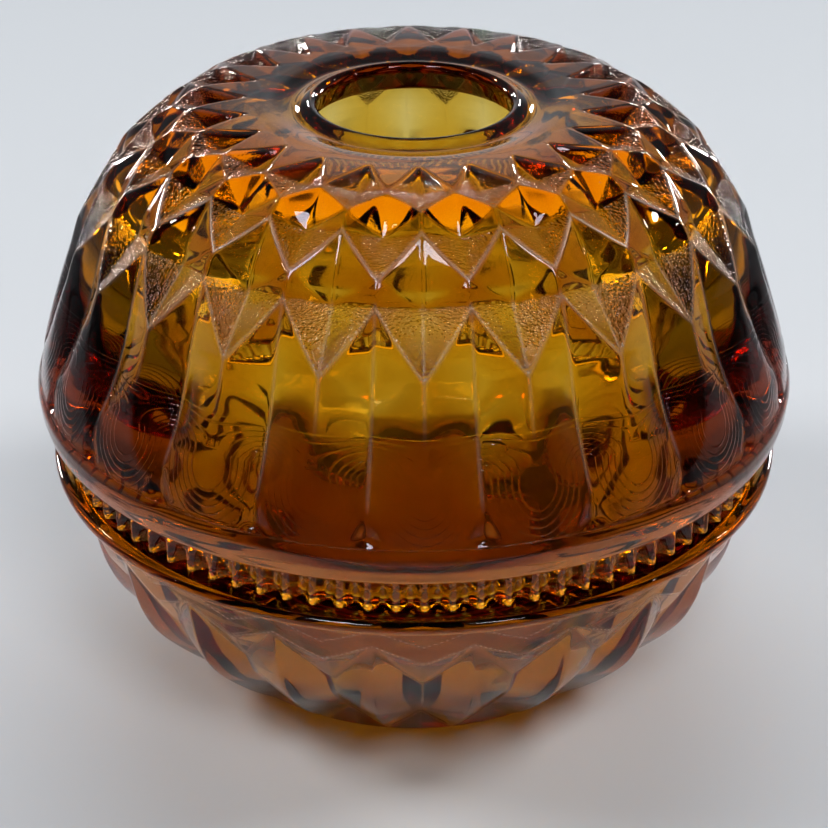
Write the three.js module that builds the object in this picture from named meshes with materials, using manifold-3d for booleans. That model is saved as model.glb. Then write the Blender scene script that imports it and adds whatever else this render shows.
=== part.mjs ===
// A two-piece pressed-glass globe: a shallow round bowl with a flat flange, and a domed lid
// with an open round hole at its crown that rests loose on the flange. Millimetres, +Z up,
// origin at the centre of the bowl's foot ring on the table.
//
// Both pieces are round bodies whose outside is covered in staggered mitre cuts: V-shaped
// hollows that meet in raised edges. A cut pattern repeats CUTS times round the body, so the
// whole surface is set by two meridians, one on the cut line "a" and one half a repeat away
// on the line "b", and by the order in which points on the two meridians are joined.

import * as THREE from 'three';
import { mergeVertices } from 'three/addons/utils/BufferGeometryUtils.js';
import Module from 'manifold-3d';

const wasm = await Module();
wasm.setup();

// ---- driving dimensions ----
const CUTS = 23;              // repeats of the cut pattern round each piece
const FLANGE_RADIUS = 66;     // outer radius of the bowl's flange
const FLANGE_TOP = 43.6;      // height of the flat face that the lid rests on
const FLANGE_THICK = 2.6;
const CLEARANCE = 0.3;        // gap between the lid's collar and the flange
const CUT_DEPTH = 2.6;        // how far a cut line lies under the uncut surface

const FOOT_OUTER = 36.4;      // foot ring the bowl stands on
const FOOT_INNER = 30.4;
const FOOT_RECESS = 1.2;
const BOWL_FLOOR = 5.8;       // height of the inside floor
const MOUTH_RADIUS = 54.6;    // inside radius of the bowl's mouth
const RING_OUTER = 56.4;      // raised ring inside the lid's collar that keeps the lid central
const RING_RISE = 2.0;

const HOLE_RADIUS = 16.6;     // open hole at the crown of the lid
const HOLE_DEPTH = 5.2;       // thickness of the glass at the hole
const HOLE_FLARE = 1.2;       // the hole opens by this much toward the inside
const RIM_RADIUS = 20.4;      // foot of the raised rim round the hole
const CROWN_RISE = 62.7;      // crown of the lid above the flange face
const LIP_RISE = 8.2;         // lower edge of the lid's skirt above the flange face
const LIP_RADIUS = 66.1;
const BULGE_RADIUS = 67.7;    // widest part of the lid, on its smooth shoulder
const COLLAR_INNER = 57.2;    // ribbed collar that carries the lid on the flange
const RIBS = 88;
const RIB_CREST = 63.8;
const RIB_ROOT = 61.2;

// ---- joining two meridians into a closed body ----

// A step moves along one meridian or both: [moves, radius, height].
const onBoth = (r, z) => ['ab', r, z];
const onA = (r, z) => ['a', r, z];
const onB = (r, z) => ['b', r, z];

// Turns a closed list of steps into a body. Every step adds the triangle or the pair of
// triangles between the point it leaves and the point it reaches. Steps run with the glass
// on their left when +r is to the right and +z is up.
function cutBody(steps) {
  const positions = [];
  const place = (point, turn) => {
    const angle = (turn * Math.PI) / CUTS - Math.PI / 2;
    return [point[0] * Math.cos(angle), point[0] * Math.sin(angle), point[1]];
  };
  const addTriangle = (corners, mirrored) => {
    const ordered = mirrored ? [corners[0], corners[2], corners[1]] : corners;
    ordered.forEach((corner) => positions.push(...corner));
  };
  for (let cut = 0; cut < CUTS; cut += 1) {
    const turnA = 2 * cut;
    for (const side of [1, -1]) {
      const turnB = turnA + side;
      const mirrored = side > 0;
      let a = steps[0].slice(1);
      let b = steps[0].slice(1);
      for (const [moves, ...next] of [...steps.slice(1), steps[0]]) {
        const nextA = moves.includes('a') ? next : a;
        const nextB = moves.includes('b') ? next : b;
        if (nextA !== a) {
          addTriangle([place(a, turnA), place(nextA, turnA), place(b, turnB)], mirrored);
        }
        if (nextB !== b) {
          addTriangle([place(nextA, turnA), place(nextB, turnB), place(b, turnB)], mirrored);
        }
        a = nextA;
        b = nextB;
      }
    }
  }
  const geometry = new THREE.BufferGeometry();
  geometry.setAttribute('position', new THREE.Float32BufferAttribute(positions, 3));
  return mergeVertices(geometry, 1e-4);
}

// ---- boolean helpers ----

function toSolid(geometry) {
  const bare = geometry.clone();
  bare.deleteAttribute('normal');
  bare.deleteAttribute('uv');
  const merged = mergeVertices(bare, 1e-4);
  const vertProperties = new Float32Array(merged.attributes.position.array);
  const triVerts = new Uint32Array(merged.index.array);
  return new wasm.Manifold(new wasm.Mesh({ numProp: 3, vertProperties, triVerts }));
}

function toGeometry(solid) {
  const mesh = solid.getMesh();
  const geometry = new THREE.BufferGeometry();
  geometry.setAttribute('position', new THREE.Float32BufferAttribute(mesh.vertProperties, 3));
  geometry.setIndex(new THREE.BufferAttribute(mesh.triVerts, 1));
  return geometry;
}

// A point moved inward, square to a wall that slopes by the given angle from upright.
function sunk(radius, height, slope, depth = CUT_DEPTH) {
  return [radius - depth * Math.cos(slope), height - depth * Math.sin(slope)];
}

// ---- base bowl ----

// The bowl's cut lines start at points just under the flange and run down to the foot. The
// raised edges between them start lower, so the tops of the cuts make a zigzag.
function bowlOutside() {
  const under = FLANGE_TOP - FLANGE_THICK;
  return [
    onBoth(FLANGE_RADIUS - 0.9, FLANGE_TOP),
    onBoth(FLANGE_RADIUS, FLANGE_TOP - 0.9),
    onBoth(FLANGE_RADIUS, FLANGE_TOP - 1.8),
    onBoth(FLANGE_RADIUS - 1.2, under),
    onBoth(62.4, under - 0.8),
    onBoth(61.6, 36.2),
    onA(61.0, 32.2),
    onA(...sunk(59.2, 24.8, -0.35)),
    onB(59.0, 25.6),
    onB(55.8, 18.2),
    onA(...sunk(54.6, 16.8, -0.65)),
    onB(48.4, 10.0),
    onA(...sunk(47.4, 9.2, -0.8)),
    onB(40.0, 2.6),
    onA(39.2, 3.2),
    onBoth(FOOT_OUTER, 0),
  ].reverse();
}

function bowlInside() {
  return [
    onBoth(RING_OUTER, FLANGE_TOP),
    onBoth(RING_OUTER - 0.5, FLANGE_TOP + RING_RISE),
    onBoth(MOUTH_RADIUS, FLANGE_TOP + RING_RISE),
    onBoth(MOUTH_RADIUS - 0.6, 36.0),
    onBoth(52.0, 28.4),
    onBoth(47.8, 20.4),
    onBoth(41.4, 13.8),
    onBoth(31.4, 8.8),
    onBoth(18.0, 6.4),
    onBoth(0, BOWL_FLOOR),
  ];
}

function bowlUnderside() {
  return [
    onBoth(0, FOOT_RECESS),
    onBoth(FOOT_INNER - FOOT_RECESS, FOOT_RECESS),
    onBoth(FOOT_INNER, 0),
  ];
}

function baseBowl() {
  const glass = new THREE.MeshStandardMaterial({ color: 0xb06a1e, roughness: 0.1, metalness: 0 });
  const steps = [...bowlUnderside(), ...bowlOutside(), ...bowlInside()];
  const bowl = new THREE.Mesh(cutBody(steps), glass);
  bowl.name = 'base_bowl';
  return bowl;
}

// ---- dome lid (heights are above the flange face) ----

// From the hole down: a raised rim, the land, three rows of hollow diamonds, each row half a
// repeat from the next, and tall petals that end on the smooth shoulder. Between two petals
// runs a sharp valley; a small triangular pocket sits under its lower end.
function lidOutside() {
  return [
    onBoth(HOLE_RADIUS, CROWN_RISE - 1.0),
    onBoth(HOLE_RADIUS + 1.0, CROWN_RISE),
    onBoth(RIM_RADIUS, CROWN_RISE - 0.7),
    onBoth(26.4, CROWN_RISE - 0.3),
    onB(37.9, 62.2),
    onA(...sunk(34.4, 62.2, 1.45, 1.8)),
    onA(41.8, 60.6),
    onB(...sunk(45.2, 58.9, 0.95, CUT_DEPTH - 0.6)),
    onA(44.9, 58.4),
    onB(51.2, 53.2),
    onA(...sunk(53.6, 49.8, 0.7)),
    onB(53.5, 49.9),
    onA(59.1, 40.6),
    onB(...sunk(59.1, 40.6, 0.45)),
    onA(61.6, 34.6),
    onB(...sunk(61.6, 34.6, 0.34, CUT_DEPTH + 0.5)),
    onA(63.2, 30.0),
    onB(...sunk(63.2, 30.0, 0.28, CUT_DEPTH + 0.3)),
    onA(64.7, 25.0),
    onB(...sunk(64.7, 25.0, 0.22, CUT_DEPTH - 0.9)),
    onA(65.7, 21.2),
    onB(...sunk(65.7, 21.2, 0.18, 0.5)),
    onB(...sunk(66.4, 18.0, 0.15, 0.8)),
    onA(66.9, 15.4),
    onB(66.9, 15.4),
    onBoth(BULGE_RADIUS, 12.4),
    onBoth(BULGE_RADIUS - 0.3, 10.0),
    onBoth(LIP_RADIUS, LIP_RISE),
  ].reverse();
}

// The inside is upright up to the height of the petals and domed above it.
function lidInside() {
  return [
    onBoth(HOLE_RADIUS + HOLE_FLARE, CROWN_RISE - HOLE_DEPTH),
    onBoth(27.0, 56.8),
    onBoth(36.6, 54.8),
    onBoth(44.2, 51.2),
    onBoth(49.4, 46.6),
    onBoth(53.0, 41.2),
    onBoth(55.0, 35.4),
    onBoth(56.1, 29.6),
    onBoth(COLLAR_INNER - 0.5, 20.0),
    onBoth(COLLAR_INNER - 0.2, LIP_RISE - 0.2),
  ];
}

// The collar's outer wall waves between rib crests and roots.
function ribbedCollar() {
  const middle = (RIB_CREST + RIB_ROOT) / 2;
  const swing = (RIB_CREST - RIB_ROOT) / 2;
  const pointsPerRib = 4;
  const count = RIBS * pointsPerRib;
  const outline = new THREE.Shape();
  for (let i = 0; i < count; i += 1) {
    const turn = i / count;
    const radius = middle + swing * Math.cos(2 * Math.PI * turn * RIBS);
    const angle = 2 * Math.PI * turn - Math.PI / 2;
    const corner = [radius * Math.cos(angle), radius * Math.sin(angle)];
    if (i === 0) outline.moveTo(...corner);
    else outline.lineTo(...corner);
  }
  const bore = new THREE.Path();
  bore.absarc(0, 0, COLLAR_INNER, 0, 2 * Math.PI, true);
  outline.holes.push(bore);
  const collarHeight = LIP_RISE + 1.5 - CLEARANCE;
  const collar = new THREE.ExtrudeGeometry(outline, {
    depth: collarHeight,
    bevelEnabled: false,
    curveSegments: 96,
  });
  collar.translate(0, 0, CLEARANCE);
  return collar;
}

function domeLid() {
  const glass = new THREE.MeshStandardMaterial({ color: 0x9a4e0a, roughness: 0.1, metalness: 0 });
  const dome = toSolid(cutBody([...lidOutside(), ...lidInside()]));
  const collar = toSolid(ribbedCollar());
  const lid = new THREE.Mesh(toGeometry(dome.add(collar)), glass);
  lid.name = 'dome_lid';
  lid.position.z = FLANGE_TOP;
  return lid;
}

const globeJar = new THREE.Group();
globeJar.add(baseBowl());
globeJar.add(domeLid());

export default globeJar;
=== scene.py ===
"""A two-piece amber pressed-glass globe: a shallow bowl with a flat flange, and a domed lid
with an open hole at its crown. Both pieces stand for their CAD nodes and carry the finer
shape: rounded mitre cuts, a ribbed collar, a beaded hole and mould ripples."""

import math

import bmesh
import bpy
import numpy as np
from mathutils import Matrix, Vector


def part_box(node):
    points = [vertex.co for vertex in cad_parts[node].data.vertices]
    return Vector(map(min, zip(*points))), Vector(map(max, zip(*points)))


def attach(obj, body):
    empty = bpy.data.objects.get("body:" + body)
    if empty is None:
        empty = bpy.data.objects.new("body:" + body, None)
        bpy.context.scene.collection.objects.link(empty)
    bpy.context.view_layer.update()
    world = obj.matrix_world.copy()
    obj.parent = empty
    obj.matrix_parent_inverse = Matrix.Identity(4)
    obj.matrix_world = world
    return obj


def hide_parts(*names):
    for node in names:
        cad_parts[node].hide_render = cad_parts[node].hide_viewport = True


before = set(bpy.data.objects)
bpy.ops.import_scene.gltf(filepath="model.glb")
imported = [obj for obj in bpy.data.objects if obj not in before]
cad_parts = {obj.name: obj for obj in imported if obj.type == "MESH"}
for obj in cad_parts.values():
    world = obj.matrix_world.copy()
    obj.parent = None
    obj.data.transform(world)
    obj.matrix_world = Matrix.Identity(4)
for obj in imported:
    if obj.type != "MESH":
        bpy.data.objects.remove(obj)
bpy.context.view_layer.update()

# ---- the pattern that both pieces share, in millimetres ----
CUTS = 23                  # repeats of the cut pattern round a piece
COLUMNS = CUTS * 40        # mesh columns round a piece
CUT_STEP = 0.4             # between mesh rows on a cut surface
PLAIN_STEP = 0.7           # between mesh rows on a plain surface
CURVED_STEP = 0.45         # the same where the surface turns more
RIM_STEP = 0.25            # the same on a narrow bead
EDGE_SOFTNESS = 0.3        # how round a moulded edge is
LINE_WIDTH = 0.22          # half width of the painted highlight line along a cut's edge
LINE_FADE = 3              # mesh rows over which a line along a meridian fades
RING_SPACING = 1.1         # between the rings that the mould's cutter left in the petals
SMOOTH, PEBBLED, STIPPLED = 0.0, 0.3, 1.0      # how stippled a facet is
LOOKS = ("stipple", "edge", "rings", "inside")  # stored on the mesh for the material

# ---- sizes from the frame, in millimetres ----
MM = 0.001
lid_low, lid_high = (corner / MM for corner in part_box("dome_lid"))
bowl_low, bowl_high = (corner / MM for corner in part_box("base_bowl"))
LID_RADIUS = (lid_high.x - lid_low.x) / 2       # the lid at its smooth shoulder
FLANGE_RADIUS = (bowl_high.x - bowl_low.x) / 2
RING_TOP = bowl_high.z                          # top of the ring that keeps the lid central
RING_RISE = 2.0
FLANGE_TOP = RING_TOP - RING_RISE
FLANGE_THICK = 2.6
CROWN_RISE = lid_high.z - FLANGE_TOP            # crown of the lid above the flange face
FOOT_RISE = lid_low.z - FLANGE_TOP              # underside of the collar above it


# ---- curves: rows of radius and height ----

def resample(points, step):
    """Points at even spacing along straight lines through the given ones, both ends kept."""
    points = np.array(points, float)
    lengths = np.hypot(*np.diff(points, axis=0).T)
    along = np.concatenate([[0], np.cumsum(lengths)])
    count = max(2, int(round(along[-1] / step)) + 1)
    at = np.linspace(0, along[-1], count)
    return np.stack([np.interp(at, along, points[:, axis]) for axis in (0, 1)], axis=1)


def smooth_curve(points, step):
    """A Catmull-Rom curve through the given points, at even spacing."""
    points = np.array(points, float)
    before = 2 * points[0] - points[1]
    after = 2 * points[-1] - points[-2]
    knots = np.vstack([before, points, after])
    samples_per_knot = 24
    t = np.linspace(0, 1, samples_per_knot, endpoint=False)[:, None]
    pieces = []
    for p0, p1, p2, p3 in zip(knots, knots[1:], knots[2:], knots[3:]):
        pieces.append(
            0.5 * (2 * p1 + (p2 - p0) * t + (2 * p0 - 5 * p1 + 4 * p2 - p3) * t**2
                   + (3 * p1 - p0 - 3 * p2 + p3) * t**3)
        )
    return resample(np.vstack(pieces + [points[-1:]]), step)


def outward(curve):
    """Unit normals of a curve that runs downward on the outside of a round body."""
    along = np.gradient(curve, axis=0)
    along /= np.hypot(along[:, 0], along[:, 1])[:, None]
    return np.stack([-along[:, 1], along[:, 0]], axis=1)


def nearest_row(curve, point):
    return int(np.argmin(np.hypot(*(curve - point).T)))


def fade(values, start, length):
    """Rises from 0 at the start to 1 a length further on. A negative length runs downward."""
    return np.clip((values - start) / length, 0, 1)


def light_line(distance):
    """Strength of the light line along an edge, at a distance in mm from the edge."""
    return np.exp(-((distance / LINE_WIDTH) ** 2))


# ---- the cut surface ----

ANGLES = 2 * math.pi * np.arange(COLUMNS) / COLUMNS - math.pi / 2
TURNS = np.arange(COLUMNS) * CUTS / COLUMNS
SHARES = np.round(2 * np.abs(TURNS - np.round(TURNS)), 6)   # 0 on a cut line, 1 midway
ACROSS = SHARES[None, :]


class CutStrip:
    """A strip of triangles between two meridians: "a" on a cut line and "b" half a repeat
    away. A step moves on one meridian to a point (radius, height) of the uncut surface, with
    the depth of the glass under it there and how stippled the facet is that the step closes."""

    def __init__(self, curve, steps):
        self.curve = curve
        self.rows = np.arange(len(curve), dtype=float)
        self.along = np.concatenate([[0], np.cumsum(np.hypot(*np.diff(curve, axis=0).T))])
        self.facets = []
        a = b = (0.0, 0.0)
        self.edges = [(a, b)]
        for meridians, r, z, depth, stipple in steps:
            point = (self.row(r, z), depth)
            for meridian in meridians:
                a, b = (point, b) if meridian == "a" else (a, point)
                self.edges.append((a, b))
                self.facets.append(stipple)
        end = (self.rows[-1], 0.0)
        self.edges += [(end, b), (end, end)]
        self.facets += [SMOOTH, SMOOTH]

    def row(self, r, z):
        """The row of the uncut surface nearest to a point."""
        return float(nearest_row(self.curve, (r, z)))

    def distance_to(self, row):
        """How far every row lies from a given one, along the uncut surface."""
        return self.along - np.interp(row, self.rows, self.along)

    def column(self, share):
        """Depth, stipple and edge line for every row, at a share of the way from a to b."""
        places = [a[0] * (1 - share) + b[0] * share for a, b in self.edges]
        depths = [a[1] * (1 - share) + b[1] * share for a, b in self.edges]
        facet = np.searchsorted(places, self.rows, side="right") - 1
        facet = np.clip(facet, 0, len(self.facets) - 1)
        stipple = np.array(self.facets)[facet]
        half_width = self.curve[:, 0] * math.pi / CUTS
        edge = np.zeros(len(self.rows))
        for (a, b), place in zip(self.edges[1:-2], places[1:-2]):
            raised = a[1] == 0 and b[1] == 0
            if raised and a[0] != b[0]:
                rise = abs(np.interp(a[0], self.rows, self.along)
                           - np.interp(b[0], self.rows, self.along))
                square = half_width / np.hypot(half_width, rise)
                edge = np.maximum(edge, light_line(self.distance_to(place) * square))
        return np.interp(self.rows, places, depths), stipple, edge

    def grids(self):
        """Depth, stipple and edge line for every row and column."""
        made = {share: self.column(share) for share in np.unique(SHARES)}
        return [np.stack(grid, axis=1) for grid in zip(*(made[share] for share in SHARES))]

    def upright_line(self, meridian, first, last):
        """A line along a meridian between two rows, fading at both ends."""
        off = SHARES if meridian == "a" else 1 - SHARES
        half_width = self.curve[:, :1] * math.pi / CUTS
        inside = fade(self.rows, first - LINE_FADE, LINE_FADE)
        inside = inside * fade(self.rows, last + LINE_FADE, -LINE_FADE)
        return inside[:, None] * light_line(off[None, :] * half_width)


# ---- rows of mesh points: radius, height and the looks ----

def plain_rows(points, inside=0.0):
    """Rows of a smooth round stretch: no stipple, edge lines or rings."""
    points = np.asarray(points, float)
    radius = np.repeat(points[:, :1], COLUMNS, axis=1)
    height = np.repeat(points[:, 1:], COLUMNS, axis=1)
    blank = np.zeros_like(radius)
    return [radius, height, blank, blank, blank, blank + inside]


def sunk_rows(curve, depth, stipple, edge, rings=None):
    """Rows of a cut stretch: the curve, moved into the glass by the depth of the cuts."""
    normal = outward(curve)
    radius = curve[:, :1] - depth * normal[:, :1]
    height = curve[:, 1:] - depth * normal[:, 1:]
    blank = np.zeros_like(depth)
    return [radius, height, stipple, edge, blank if rings is None else rings, blank]


def joined(parts):
    return [np.vstack(grids) for grids in zip(*parts)]


def softened(values, radius, closed):
    """Rounds the edges of a grid, by the same length round the piece and along its rows."""
    smallest_ring = 2.0
    waves = np.arange(COLUMNS // 2 + 1)[None, :]
    spread = EDGE_SOFTNESS / np.maximum(radius.mean(axis=1, keepdims=True), smallest_ring)
    values = np.fft.irfft(
        np.fft.rfft(values, axis=1) * np.exp(-0.5 * (waves * spread) ** 2), COLUMNS, axis=1
    )
    if closed:
        return (np.roll(values, 1, axis=0) + 2 * values + np.roll(values, -1, axis=0)) / 4
    inner = (values[:-2] + 2 * values[1:-1] + values[2:]) / 4
    return np.vstack([values[:1], inner, values[-1:]])


def round_body(name, rows, closed):
    """A closed mesh from rows that run round the piece's section. An open section starts and
    ends on the axis."""
    radius, height, *looks = rows
    soft_radius = softened(radius, radius, closed)
    soft_height = softened(height, radius, closed)
    count = len(radius)
    x = soft_radius * np.cos(ANGLES)
    y = soft_radius * np.sin(ANGLES)
    points = np.stack([x, y, soft_height], axis=-1).reshape(-1, 3) * MM
    index = np.arange(count * COLUMNS).reshape(count, COLUMNS)
    if closed:
        lower, upper = index, np.roll(index, -1, axis=0)
    else:
        lower, upper = index[:-1], index[1:]
    quads = np.stack(
        [lower, upper, np.roll(upper, -1, axis=1), np.roll(lower, -1, axis=1)], axis=-1
    ).reshape(-1, 4)
    mesh = bpy.data.meshes.new(name)
    mesh.from_pydata(points.tolist(), [], quads.tolist())
    for label, values in zip(LOOKS, looks):
        layer = mesh.attributes.new(label, "FLOAT", "POINT")
        layer.data.foreach_set("value", values.astype(np.float32).ravel())
    mesh.polygons.foreach_set("use_smooth", np.ones(len(quads), bool))
    body = bpy.data.objects.new(name, mesh)
    bpy.context.scene.collection.objects.link(body)
    if not closed:
        close_poles(mesh)
    mesh.update()
    return body


def close_poles(mesh):
    """Merges each end row, which lies on the axis, into a single point."""
    tolerance = 1e-6
    shape = bmesh.new()
    shape.from_mesh(mesh)
    on_axis = [v for v in shape.verts if math.hypot(v.co.x, v.co.y) < tolerance]
    bmesh.ops.remove_doubles(shape, verts=on_axis, dist=tolerance)
    shape.to_mesh(mesh)
    shape.free()


# ---- dome lid: radii in mm, heights above the flange face ----

HOLE_RADIUS = 16.5
HOLE_FLARE = 1.2           # the hole opens by this much toward the inside
RIB_CREST, RIB_ROOT = 63.8, 61.2
COLLAR_RIBS = 88
COLLAR_TOP = 8.1           # where the collar meets the underside of the shoulder
COLLAR_BORE = 57.2
DIAMOND_TIP = (59.3, 40.1)     # on the crest, where the lowest diamonds end
OVERRUN = 2                # rows that the diamonds' strip runs on under the tips

# The petals at nine levels, from the shoulder up to the diamonds' tips: how deep the valleys
# between them lie, and the power that makes them round and full (high) or creased (1).
PETAL_LEVELS = [15.0, 19.0, 21.5, 24.5, 28.0, 31.5, 35.0, 37.8, 40.1]
VALLEY_DEPTHS = [0.0, 0.15, 0.8, 1.8, 2.7, 3.1, 3.1, 2.9, 2.5]
PETAL_FULLNESS = [2.6, 2.6, 2.4, 2.3, 2.15, 1.9, 1.5, 1.2, 1.0]


def lid_surface():
    """The lid's outside from the land round the hole down to the smooth shoulder."""
    crest = smooth_curve(
        [(26.4, CROWN_RISE - 0.32), (32.0, CROWN_RISE - 0.2), (37.9, CROWN_RISE - 0.5),
         (41.8, 60.6), (45.2, 58.3), (51.2, 53.2), (53.5, 49.9), DIAMOND_TIP, (61.6, 34.6),
         (63.2, 30.0), (64.7, 25.0), (65.7, 21.2), (66.4, 18.0), (66.9, 15.0)], CUT_STEP)
    split = nearest_row(crest, DIAMOND_TIP) + 1
    upper = [grid[:split] for grid in lid_diamonds(crest[:split + OVERRUN])]
    lower = lid_petals(crest[split:])
    return sunk_rows(crest, *(np.vstack(pair) for pair in zip(upper, lower)))


def lid_diamonds(crest):
    """Three rows of hollow diamonds with stippled lower halves, and the tops of the petals."""
    strip = CutStrip(crest, [
        ("ab", 28.8, 62.6, 0.0, SMOOTH),
        ("b", 37.9, 62.2, 0.0, SMOOTH),
        ("a", 30.4, 62.6, 1.2, SMOOTH),
        ("a", 35.4, 62.4, 2.2, PEBBLED),
        ("a", 41.8, 60.6, 0.0, STIPPLED),
        ("b", 45.2, 58.3, 2.0, SMOOTH),
        ("a", 44.9, 58.4, 0.0, SMOOTH),
        ("b", 51.2, 53.2, 0.0, STIPPLED),
        ("a", 53.6, 49.8, 2.6, SMOOTH),
        ("b", 53.5, 49.9, 0.0, SMOOTH),
        ("a", *DIAMOND_TIP, 0.0, STIPPLED),
        ("b", *DIAMOND_TIP, 2.5, SMOOTH),
    ])
    depth, stipple, edge = strip.grids()
    crease = strip.upright_line("a", strip.row(53.6, 49.8), strip.row(*DIAMOND_TIP))
    valley = strip.upright_line("b", strip.row(53.5, 49.9), strip.rows[-1] + LINE_FADE)
    edge = np.maximum(0.8 * edge, 0.45 * np.maximum(valley, crease))
    fainter_near_crown = np.interp(crest[:, 0], [40.0, 47.0], [0.25, 1.0])
    edge *= fainter_near_crown[:, None]
    return depth, stipple, edge, np.zeros_like(depth)


def lid_petals(crest):
    """Tall petals between sharp valleys: creased down the middle at the top, round and full
    at the bottom. A small triangular pocket sits under the lower end of each valley."""
    height = crest[:, 1]
    across = crest[:, :1] * math.pi / CUTS
    valley_depth = np.interp(height, PETAL_LEVELS, VALLEY_DEPTHS)
    fullness = np.interp(height, PETAL_LEVELS, PETAL_FULLNESS)
    depth = valley_depth[:, None] * ACROSS ** fullness[:, None]
    # The middle of a petal is set back a little from the tip of the diamond above it.
    set_back = 0.5 * (1 - np.exp((height - height[0]) / 3.0)) * fade(height, 20.0, 14)
    depth += set_back[:, None] * (1 - ACROSS ** 3)

    pocket_depth = np.interp(height, [15.2, 15.9, 20.0, 21.0], [0.0, 1.0, 0.35, 0.0])
    pocket_width = np.interp(height, [15.2, 20.5], [0.34, 0.08])
    pocket = np.clip(1 - (1 - ACROSS) / pocket_width[:, None], 0, 1)
    depth += pocket_depth[:, None] * pocket

    valley = light_line((1 - ACROSS) * across) * fade(height, 20.0, 3)[:, None]
    crease = light_line(ACROSS * across) * fade(height, 30.0, 8)[:, None]
    from_eye = np.hypot(ACROSS * across, (height[:, None] - 24.0) * 0.75)
    rings = np.clip(from_eye, 2.5, 8.0) / RING_SPACING
    rings *= fade(height, 32.0, -6)[:, None]
    return depth, np.zeros_like(depth), 0.45 * np.maximum(valley, crease), rings


def hole_rim():
    """The wall of the hole, a bead round it, and a shallow groove outside the bead."""
    bead = [(0.0, -1.3), (0.25, -0.55), (0.9, -0.05), (1.4, 0.0), (2.1, -0.3), (3.1, -0.8),
            (4.3, -1.1), (5.7, -0.9), (7.7, -0.5), (9.5, -0.32)]
    return plain_rows(np.vstack([
        resample([(HOLE_RADIUS + HOLE_FLARE, CROWN_RISE - 5.2),
                  (HOLE_RADIUS, CROWN_RISE - 1.6)], 2 * RIM_STEP),
        smooth_curve([(HOLE_RADIUS + out, CROWN_RISE + up) for out, up in bead], RIM_STEP),
    ]))


def lid_shoulder():
    """The smooth shoulder, the lip under it, and its underside in to the collar."""
    return plain_rows(smooth_curve(
        [(67.1, 14.9), (67.6, 13.4), (LID_RADIUS, 12.2), (LID_RADIUS - 0.05, 11.0),
         (LID_RADIUS - 0.35, 9.8), (67.0, 8.8), (66.3, 8.3), (65.2, COLLAR_TOP)],
        CURVED_STEP))


def ribbed_collar():
    """The collar's outer wall, which waves between rib crests and roots."""
    middle = (RIB_CREST + RIB_ROOT) / 2
    swing = (RIB_CREST - RIB_ROOT) / 2
    levels = [*np.arange(COLLAR_TOP, FOOT_RISE + 0.35, -CURVED_STEP), FOOT_RISE]
    collar = plain_rows([(middle, level) for level in levels])
    radius = collar[0]
    radius[:] = middle + swing * np.cos(COLLAR_RIBS * (ANGLES + math.pi / 2))
    radius[-1] -= 0.25
    return collar


def lid_inside():
    """The collar's bore, upright walls up to the height of the petals, and a dome above."""
    return plain_rows(np.vstack([
        resample([(COLLAR_BORE + 0.3, FOOT_RISE), (COLLAR_BORE, FOOT_RISE + 0.4),
                  (COLLAR_BORE, 7.0)], PLAIN_STEP),
        smooth_curve(
            [(57.0, 8.0), (56.8, 14.0), (56.6, 20.0), (56.4, 26.0), (56.1, 29.6),
             (55.0, 35.4), (53.0, 41.2), (49.4, 46.6), (44.2, 51.2), (36.6, 54.8),
             (27.0, 56.8), (18.4, 57.4)], CURVED_STEP),
    ]), inside=1.0)


def lid_rows():
    parts = [hole_rim(), lid_surface(), lid_shoulder(), ribbed_collar(), lid_inside()]
    radius, height, *looks = joined(parts)
    return [radius, height + FLANGE_TOP, *looks]


# ---- base bowl: radii and heights in mm ----

def bowl_inside():
    """The bowl's inside from the middle of its floor up to the ring round its mouth."""
    return plain_rows(np.vstack([
        smooth_curve(
            [(0.0, 5.8), (10.0, 5.95), (18.0, 6.4), (31.4, 8.8), (41.4, 13.8),
             (47.8, 20.4), (52.0, 28.4), (54.0, 36.0), (54.5, 42.0)], PLAIN_STEP),
        smooth_curve(
            [(54.6, RING_TOP - 1.5), (54.8, RING_TOP - 0.5), (55.4, RING_TOP),
             (56.0, RING_TOP - 0.6), (56.4, FLANGE_TOP)], 0.3),
    ]), inside=1.0)


def bowl_flange():
    under = FLANGE_TOP - FLANGE_THICK
    return plain_rows(resample(
        [(56.6, FLANGE_TOP), (FLANGE_RADIUS - 0.5, FLANGE_TOP),
         (FLANGE_RADIUS, FLANGE_TOP - 0.6), (FLANGE_RADIUS, FLANGE_TOP - 1.8),
         (64.9, under), (62.6, under - 0.8)], CURVED_STEP))


def bowl_cuts():
    """Pointed cuts that start just under the flange and run down to the foot."""
    crest = smooth_curve(
        [(62.3, 39.8), (61.7, 36.2), (61.0, 32.2), (59.2, 24.8), (55.8, 18.2), (48.4, 10.0),
         (40.0, 2.6)], CUT_STEP)
    strip = CutStrip(crest, [
        ("ab", 61.7, 36.2, 0.0, SMOOTH),
        ("a", 61.0, 32.2, 0.0, SMOOTH),
        ("a", 59.2, 24.8, 2.6, SMOOTH),
        ("b", 55.8, 18.2, 0.0, SMOOTH),
        ("a", 54.6, 16.8, 2.6, SMOOTH),
        ("b", 48.4, 10.0, 0.0, SMOOTH),
        ("a", 47.4, 9.2, 2.6, SMOOTH),
        ("b", 40.2, 2.8, 0.0, SMOOTH),
    ])
    depth, stipple, edge = strip.grids()
    crease = strip.upright_line("a", strip.row(61.0, 32.2), strip.row(40.2, 2.8))
    return sunk_rows(crest, depth, stipple, np.maximum(edge, 0.5 * crease))


def bowl_foot():
    """The foot ring the bowl stands on, and the recess inside it."""
    return plain_rows(resample(
        [(38.6, 1.4), (36.8, 0.1), (36.4, 0.0), (30.4, 0.0), (29.2, 1.2), (10.0, 1.2),
         (0.0, 1.2)], PLAIN_STEP))


def bowl_rows():
    return joined([bowl_inside(), bowl_flange(), bowl_cuts(), bowl_foot()])


# ---- shader nodes ----

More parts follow.
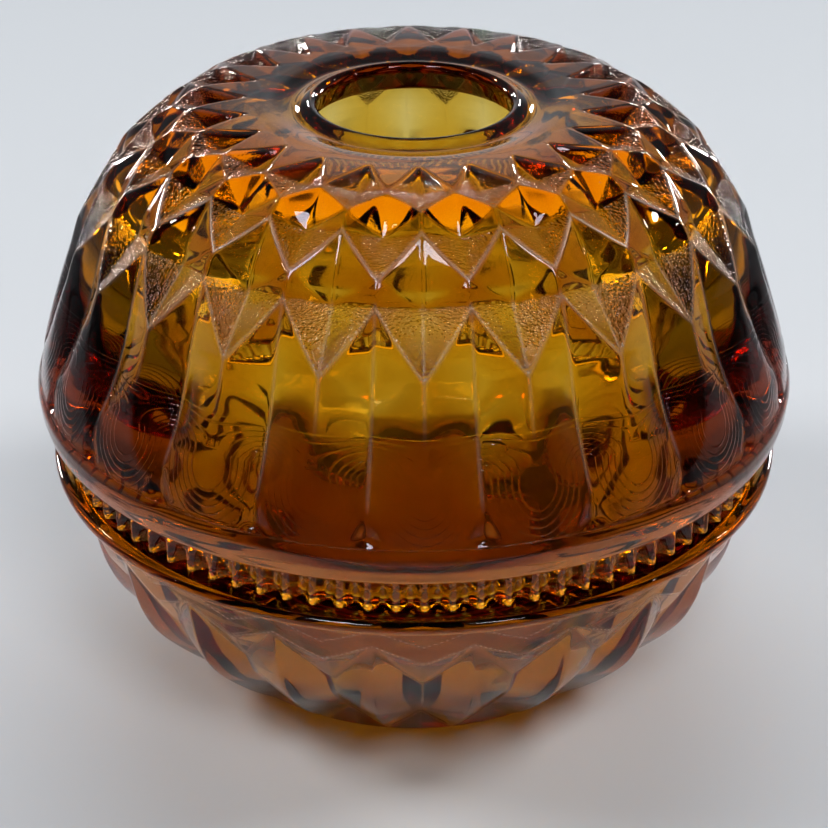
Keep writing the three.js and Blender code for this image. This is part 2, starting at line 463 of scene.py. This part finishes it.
def connect(tree, node, inputs):
    """Gives inputs of a node a plain value, or links them to the output of another node."""
    for key, value in inputs.items():
        if isinstance(value, bpy.types.NodeSocket):
            tree.links.new(value, node.inputs[key])
        else:
            node.inputs[key].default_value = value
    return node


def add_node(tree, kind, inputs=None, **settings):
    node = tree.nodes.new("ShaderNode" + kind)
    for setting, value in settings.items():
        setattr(node, setting, value)
    return connect(tree, node, inputs or {})


def mesh_look(tree, label):
    return add_node(tree, "Attribute", attribute_name=label).outputs["Fac"]


def calculate(tree, operation, *values):
    node = add_node(tree, "Math", dict(enumerate(values)), operation=operation)
    return node.outputs["Value"]


def blend(tree, source, low, high):
    """From low to high as the source goes from 0 to 1."""
    node = add_node(tree, "MapRange", {"Value": source, "To Min": low, "To Max": high})
    return node.outputs["Result"]


def smooth_ramp(tree, source, start, end, low, high):
    """From low to high as the source goes from start to end."""
    node = add_node(tree, "MapRange", {
        "Value": source, "From Min": start, "From Max": end, "To Min": low, "To Max": high,
    }, interpolation_type="SMOOTHSTEP")
    return node.outputs["Result"]


def camera_axes(tree):
    """Distance to the side of the camera and ahead of it, as outputs X and Z."""
    place = add_node(tree, "TexCoord").outputs["Camera"]
    return add_node(tree, "SeparateXYZ", {"Vector": place}).outputs


# ---- amber glass: lengths in metres ----

GLASS_IOR = 1.51
GLASS_TINT = (1.0, 0.97, 0.93, 1)
ROUGHNESS = 0.012          # of the outside
EDGE_ROUGHNESS = 0.35      # of the edges between the cuts, rough and partly opaque: a painted highlight line along each edge
EDGE_CLARITY = 0.82        # share of the light that passes through such an edge; the rest shows as the painted highlight line
INSIDE_ROUGHNESS = 0.04    # the plunger leaves the inside less bright than the outside
STIPPLE_ROUGHNESS = 0.02
STIPPLE_SCALE, STIPPLE_HEIGHT = 2000.0, 0.00016
SWELL_SCALE, SWELL_HEIGHT = 110.0, 0.0003      # slow waves of the inside
RING_DRIFT_SCALE = 90.0    # how quickly the mould rings wander
RING_HEIGHT = 0.00003
RING_FLOOR = 0.5           # cuts off the cosine between two rings
RING_SHARPNESS = 6.0


def mould_rings(tree, place):
    """Thin rings that wander a little, from the ring count stored on the mesh."""
    rings = mesh_look(tree, "rings")
    drift = add_node(tree, "TexNoise",
                     {"Vector": place, "Scale": RING_DRIFT_SCALE, "Detail": 1.0})
    wander = calculate(tree, "MULTIPLY", drift.outputs["Fac"], rings)
    phase = calculate(tree, "MULTIPLY_ADD", rings, 2 * math.pi, wander)
    crest = calculate(tree, "MAXIMUM", calculate(tree, "COSINE", phase), RING_FLOOR)
    return calculate(tree, "POWER", crest, RING_SHARPNESS)


def glass_relief(tree, inside, stipple):
    """A normal with slow waves on the inside, rings in the petals and pebbled facets."""
    place = add_node(tree, "TexCoord").outputs["Object"]
    swell = add_node(tree, "TexNoise",
                     {"Vector": place, "Scale": SWELL_SCALE, "Detail": 0.0})
    waves = add_node(tree, "Bump", {
        "Strength": inside, "Distance": SWELL_HEIGHT, "Height": swell.outputs["Fac"],
    })
    ripples = add_node(tree, "Bump", {
        "Distance": RING_HEIGHT, "Height": mould_rings(tree, place),
        "Normal": waves.outputs["Normal"],
    })
    grain = add_node(tree, "TexVoronoi", {"Vector": place, "Scale": STIPPLE_SCALE})
    pebbles = add_node(tree, "Bump", {
        "Strength": stipple, "Distance": STIPPLE_HEIGHT, "Height": grain.outputs["Distance"],
        "Normal": ripples.outputs["Normal"],
    })
    return pebbles.outputs["Normal"]


def glass_roughness(tree, inside, stipple, edge):
    outside = blend(tree, edge, ROUGHNESS, EDGE_ROUGHNESS)
    frosted = calculate(tree, "MULTIPLY_ADD", stipple, STIPPLE_ROUGHNESS, outside)
    return calculate(tree, "MULTIPLY_ADD", inside, INSIDE_ROUGHNESS, frosted)


def amber_glass(name, tint, density):
    """Clear glass that darkens to deep amber with its thickness, wavy and stippled in places."""
    material = bpy.data.materials.new(name)
    material.use_nodes = True
    tree = material.node_tree
    inside, stipple, edge = (mesh_look(tree, look) for look in ("inside", "stipple", "edge"))
    connect(tree, tree.nodes["Principled BSDF"], {
        "Base Color": GLASS_TINT,
        "IOR": GLASS_IOR,
        "Roughness": glass_roughness(tree, inside, stipple, edge),
        # Edge lines pass less light and scatter the rest off the pale base colour: painted
        # highlight lines along the cut edges.
        "Transmission Weight": blend(tree, edge, 1.0, EDGE_CLARITY),
        "Normal": glass_relief(tree, inside, stipple),
    })
    depth = add_node(tree, "VolumeAbsorption", {"Color": (*tint, 1), "Density": density})
    connect(tree, tree.nodes["Material Output"], {"Volume": depth.outputs["Volume"]})
    return material


# ---- the pieces ----

lid_glass = amber_glass("lid_amber", (0.905, 0.758, 0.0), 530.0)
bowl_glass = amber_glass("bowl_amber", (0.922, 0.78, 0.0), 410.0)

lid = round_body("globe_lid", lid_rows(), closed=True)
lid.data.materials.append(lid_glass)
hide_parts("dome_lid")
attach(lid, "lid")

bowl = round_body("globe_bowl", bowl_rows(), closed=False)
bowl.data.materials.append(bowl_glass)
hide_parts("base_bowl")
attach(bowl, "bowl")


# ---- table, room, lamps and camera: lengths in metres ----

def table_surface():
    """Pale paint with painted shade on it: dark close to the camera, and dimmer to both sides of
    its view, so that the glass has something dark to show."""
    material = bpy.data.materials.new("pale_table_painted_shade")
    material.use_nodes = True
    tree = material.node_tree
    axes = camera_axes(tree)
    # Painted shade: the table is dark close to the camera and pale farther off.
    shade = add_node(tree, "ValToRGB", {"Fac": axes["Z"]})
    near, far = shade.color_ramp.elements
    near.position, near.color = 0.25, (0.045, 0.045, 0.045, 1)
    far.position, far.color = 0.34, (0.70, 0.725, 0.76, 1)
    # More painted shade: the table is dimmer to both sides of the camera's view.
    slant = calculate(tree, "ABSOLUTE", calculate(tree, "DIVIDE", axes["X"], axes["Z"]))
    aside = smooth_ramp(tree, slant, 0.23, 0.42, 1.0, 0.25)
    dimmed = add_node(tree, "VectorMath", {"Vector": shade.outputs["Color"], "Scale": aside},
                      operation="SCALE")
    connect(tree, tree.nodes["Principled BSDF"], {
        "Roughness": 0.6,
        "Specular IOR Level": 0.0,
        "Base Color": dimmed.outputs["Vector"],
    })
    return material


def make_table():
    reach = 3.0
    corners = [(-reach, -reach, 0), (reach, -reach, 0), (reach, reach, 0), (-reach, reach, 0)]
    mesh = bpy.data.meshes.new("table")
    mesh.from_pydata(corners, [], [(0, 1, 2, 3)])
    mesh.materials.append(table_surface())
    table = bpy.data.objects.new("table", mesh)
    bpy.context.scene.collection.objects.link(table)


def make_room():
    """A pale wall behind the globe, dimmer to the sides, and a dark room behind the camera."""
    wall, side, behind = 0.85, 0.11, 0.01
    narrowing = -0.8
    world = bpy.data.worlds.new("room")
    bpy.context.scene.world = world
    world.use_nodes = True
    tree = world.node_tree
    axes = camera_axes(tree)
    sideways = calculate(tree, "ABSOLUTE", axes["X"])
    ahead = calculate(tree, "MULTIPLY_ADD", sideways, narrowing, axes["Z"])
    flank = smooth_ramp(tree, axes["Z"], -0.3, 0.3, behind, side)
    connect(tree, tree.nodes["Background"], {
        "Color": (0.88, 0.94, 1.0, 1),
        "Strength": smooth_ramp(tree, ahead, 0.3, 0.85, flank, wall),
    })


# A lamp lights the table, or shows only as a glint: on the outside of the glass, or through
# the glass as well.
TABLE, GLINT, DEEP_GLINT = "table", "glint", "deep glint"

# Name, use, place, width, power in watts and colour.
LAMPS = [
    ("window", TABLE, (0.0, 1.1, 1.3), 1.6, 14.0, (0.91, 0.96, 1.0)),
    ("fill_left", TABLE, (-0.7, 0.0, 0.7), 0.3, 3.6, (1.0, 0.98, 0.96)),
    ("fill_right", TABLE, (0.7, 0.0, 0.7), 0.3, 3.6, (1.0, 0.98, 0.96)),
    ("fill_front", TABLE, (0.15, -0.7, 1.0), 0.4, 3.4, (0.97, 0.98, 1.0)),
    ("back_left", GLINT, (-0.5, 0.95, 0.32), 0.08, 0.8, (1.0, 0.97, 0.97)),
    ("back_right", GLINT, (0.55, 0.92, 0.32), 0.08, 0.8, (1.0, 0.97, 0.97)),
    ("high_left", GLINT, (-0.29, 0.95, 0.46), 0.1, 1.1, (1.0, 0.98, 0.98)),
    ("high_right", GLINT, (0.31, 0.93, 0.46), 0.1, 1.1, (1.0, 0.98, 0.98)),
    ("low_left", DEEP_GLINT, (-0.75, 0.7, 0.2), 0.14, 2.8, (1.0, 0.95, 0.97)),
    ("low_right", DEEP_GLINT, (0.75, 0.7, 0.2), 0.14, 2.8, (1.0, 0.95, 0.97)),
    ("lamp_left", DEEP_GLINT, (-0.6, 0.5, 0.7), 0.07, 0.7, (1.0, 0.98, 0.95)),
    ("lamp_right", DEEP_GLINT, (0.65, 0.45, 0.7), 0.05, 0.35, (1.0, 0.98, 0.95)),
    ("side_left", DEEP_GLINT, (-0.85, -0.15, 0.6), 0.05, 0.3, (1.0, 0.96, 0.93)),
    ("side_right", DEEP_GLINT, (0.85, -0.2, 0.6), 0.05, 0.3, (1.0, 0.96, 0.93)),
    ("front_left", GLINT, (-0.34, -0.6, 0.98), 0.3, 2.8, (0.88, 0.86, 1.0)),
    ("front_right", GLINT, (0.34, -0.6, 0.98), 0.26, 1.8, (0.88, 0.86, 1.0)),
]
GLOBE_MIDDLE = Vector((0, 0, 0.05))


def aim(holder, direction):
    """Turns a lamp or a camera to look along a direction, its top side up."""
    holder.rotation_mode = "QUATERNION"
    holder.rotation_quaternion = direction.to_track_quat("-Z", "Y")


def make_lamp(name, use, place, width, power, colour):
    lamp = bpy.data.lights.new(name, "AREA")
    lamp.shape = "DISK"
    lamp.size = width
    lamp.energy = power
    lamp.color = colour
    holder = bpy.data.objects.new(name, lamp)
    holder.location = place
    aim(holder, GLOBE_MIDDLE - Vector(place))
    holder.visible_glossy = use != TABLE
    holder.visible_diffuse = use == TABLE
    holder.visible_transmission = use != GLINT
    bpy.context.scene.collection.objects.link(holder)


def make_camera():
    """A camera in front of the globe and above it, looking a little to the right and down."""
    height = 0.2372
    reach = 0.3342
    turn = math.radians(1.5)
    pitch = math.radians(30.0)
    camera = bpy.data.cameras.new("camera")
    camera.lens = 90.7
    camera.sensor_width = 36.0
    camera.clip_start = 0.01
    holder = bpy.data.objects.new("camera", camera)
    holder.location = (-reach * math.sin(turn), -reach * math.cos(turn), height)
    level = math.cos(pitch)
    aim(holder, Vector((math.sin(turn) * level, math.cos(turn) * level, -math.sin(pitch))))
    bpy.context.scene.collection.objects.link(holder)
    bpy.context.scene.camera = holder


make_table()
make_room()
for settings in LAMPS:
    make_lamp(*settings)
make_camera()

LIGHT_BOUNCES = 12         # enough to pass through both pieces and back
scene = bpy.context.scene
scene.view_settings.view_transform = "Standard"
scene.cycles.max_bounces = LIGHT_BOUNCES
scene.cycles.transmission_bounces = LIGHT_BOUNCES
